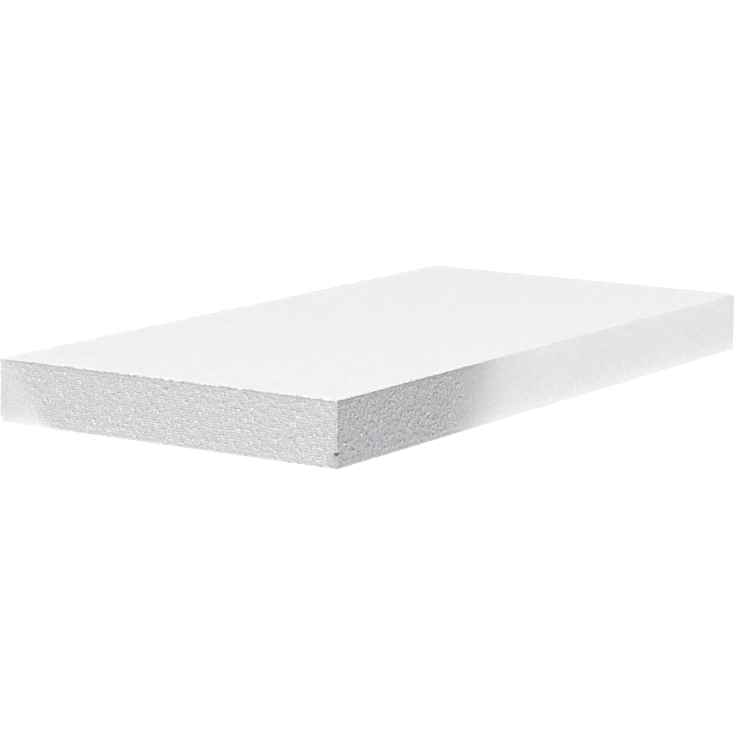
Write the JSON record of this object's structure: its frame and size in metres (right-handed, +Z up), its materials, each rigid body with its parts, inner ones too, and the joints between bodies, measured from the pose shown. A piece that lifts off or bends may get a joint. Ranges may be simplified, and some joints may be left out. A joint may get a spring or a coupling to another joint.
{
  "type": "eps insulation board",
  "caption": "Flat rectangular slab of white expanded polystyrene foam with square edges and a fused-bead surface, laid or bonded edge to edge as thermal insulation.",
  "frame": {"origin": "centre of the underside, midway along the length and the width", "axes": "+X along the 1000 mm length, +Y along the 500 mm width, +Z up through the 80 mm thickness; the front is the -Y side, and the knocked corners are at the front"},
  "size_m": [1, 0.5, 0.08],
  "materials": {
    "eps_foam": "matte white foam of fused beads about 3 to 5 mm across, hot-wire cut"
  },
  "bodies": {
    "root": {"eps_board": "eps_foam"}
  },
  "joints": []
}
